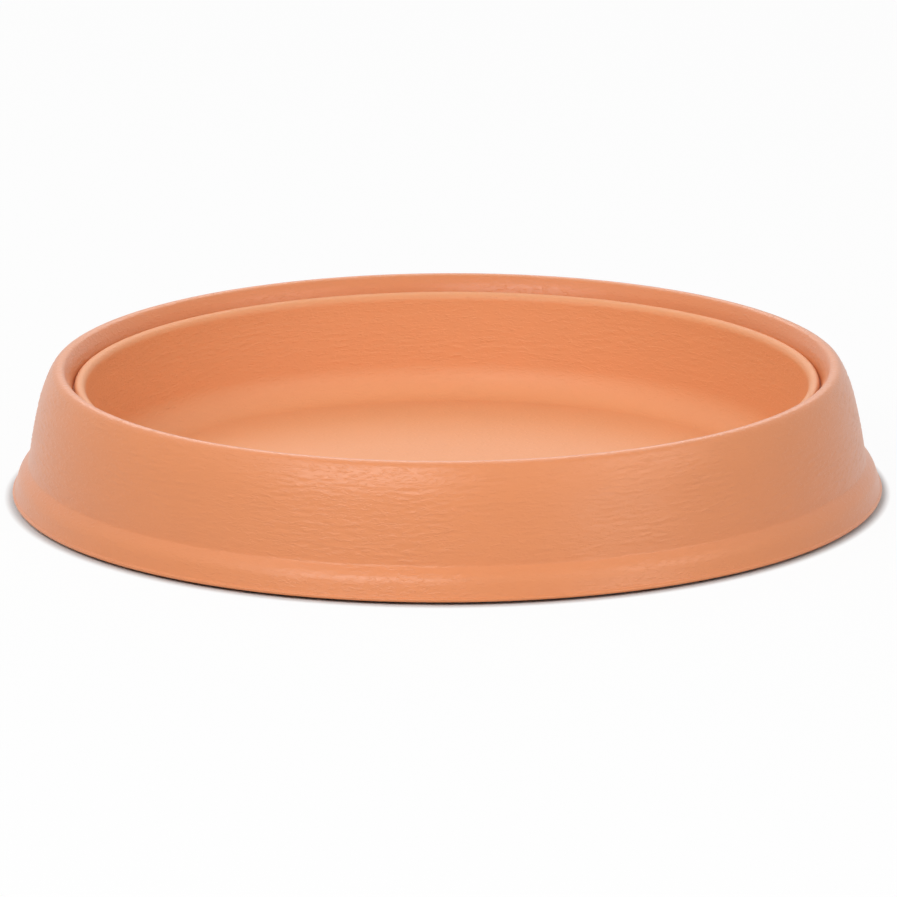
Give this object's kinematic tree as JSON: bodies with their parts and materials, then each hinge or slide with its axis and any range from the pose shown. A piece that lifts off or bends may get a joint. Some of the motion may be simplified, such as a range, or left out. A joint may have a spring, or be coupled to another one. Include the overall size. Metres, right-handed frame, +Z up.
{
  "type": "plant saucer",
  "caption": "Round plant saucer: a shallow water dish with a beaded edge inside a flared outer surround with a rounded rim.",
  "frame": {"origin": "on the ground, at the centre of the saucer", "axes": "+Z up, along the saucer's axis; the picture looks along +Y, so +X is to its right"},
  "size_m": [0.406, 0.406, 0.0613],
  "materials": {
    "surround_plastic": "satin moulded plastic with fine streaks",
    "dish_plastic": "satin moulded plastic",
    "pad_rubber": "matt"
  },
  "bodies": {
    "dish": {"water_dish": "dish_plastic", "foot_pad_1": "pad_rubber", "foot_pad_2": "pad_rubber", "foot_pad_3": "pad_rubber", "foot_pad_4": "pad_rubber", "foot_pad_5": "pad_rubber", "foot_pad_6": "pad_rubber"},
    "surround": {"outer_surround": "surround_plastic"}
  },
  "joints": [
    {"name": "surround_lift", "type": "slide", "parent": "dish", "child": "surround", "axis": [0, 0, 1], "range_m": [0, 0.07]}
  ]
}
